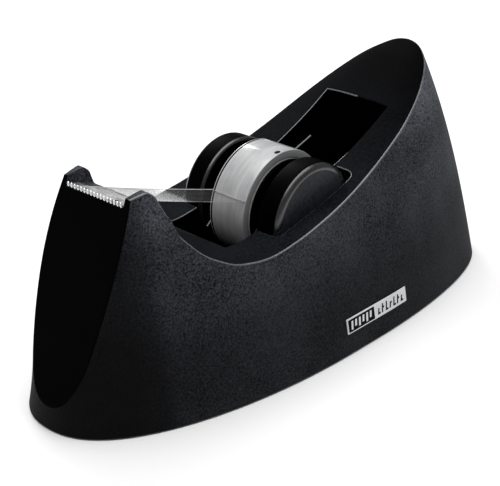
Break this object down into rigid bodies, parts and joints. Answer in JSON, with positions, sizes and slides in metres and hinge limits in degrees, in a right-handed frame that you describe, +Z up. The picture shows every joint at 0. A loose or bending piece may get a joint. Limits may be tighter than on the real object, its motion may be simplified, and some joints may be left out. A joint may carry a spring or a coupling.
{
  "type": "desk tape dispenser",
  "caption": "Weighted desk tape dispenser with a scooped body, a serrated cutter at the front and a lift-out hub that carries a roll of clear tape.",
  "frame": {"origin": "middle of the footprint, on the desk", "axes": "+X from the cutter towards the tall back, +Y across the width, +Z up"},
  "size_m": [0.1607, 0.066, 0.0668],
  "materials": {
    "shell_plastic": "finely textured charcoal",
    "panel_plastic": "smooth satin black",
    "plate_plastic": "matt black",
    "screw_steel": "zinc plated",
    "pad_rubber": "matt black foam rubber",
    "ballast_iron": "as cast",
    "blade_steel": "bright strip steel",
    "pin_steel": "drawn steel",
    "knob_plastic": "satin black",
    "core_card": "pale card",
    "clear_tape": "wound clear film",
    "clear_tape_strip": "clear film",
    "label_print": "white with dark print"
  },
  "bodies": {
    "dispenser": {"body_shell": "shell_plastic", "front_panel": "panel_plastic", "base_plate": "plate_plastic", "base_screw_1": "screw_steel", "base_screw_2": "screw_steel", "base_screw_3": "screw_steel", "base_screw_4": "screw_steel", "grip_pad_1": "pad_rubber", "grip_pad_2": "pad_rubber", "grip_pad_3": "pad_rubber", "grip_pad_4": "pad_rubber", "ballast_front": "ballast_iron", "ballast_floor": "ballast_iron", "ballast_back": "ballast_iron", "cutter_blade": "blade_steel", "label_plate": "label_print"},
    "hub_carrier": {"axle_pin": "pin_steel", "tape_strip": "clear_tape_strip"},
    "hub": {"hub_left": "knob_plastic", "hub_right": "knob_plastic", "tape_core": "core_card", "tape_roll": "clear_tape"}
  },
  "joints": [
    {"name": "hub_lift", "type": "slide", "parent": "dispenser", "child": "hub_carrier", "axis": [0, 0, 1], "range_m": [0, 0.05]},
    {"name": "hub_spin", "type": "hinge", "parent": "hub_carrier", "child": "hub", "pos_m": [0.00083, 0, 0.0352], "axis": [0, 1, 0], "continuous": true}
  ]
}
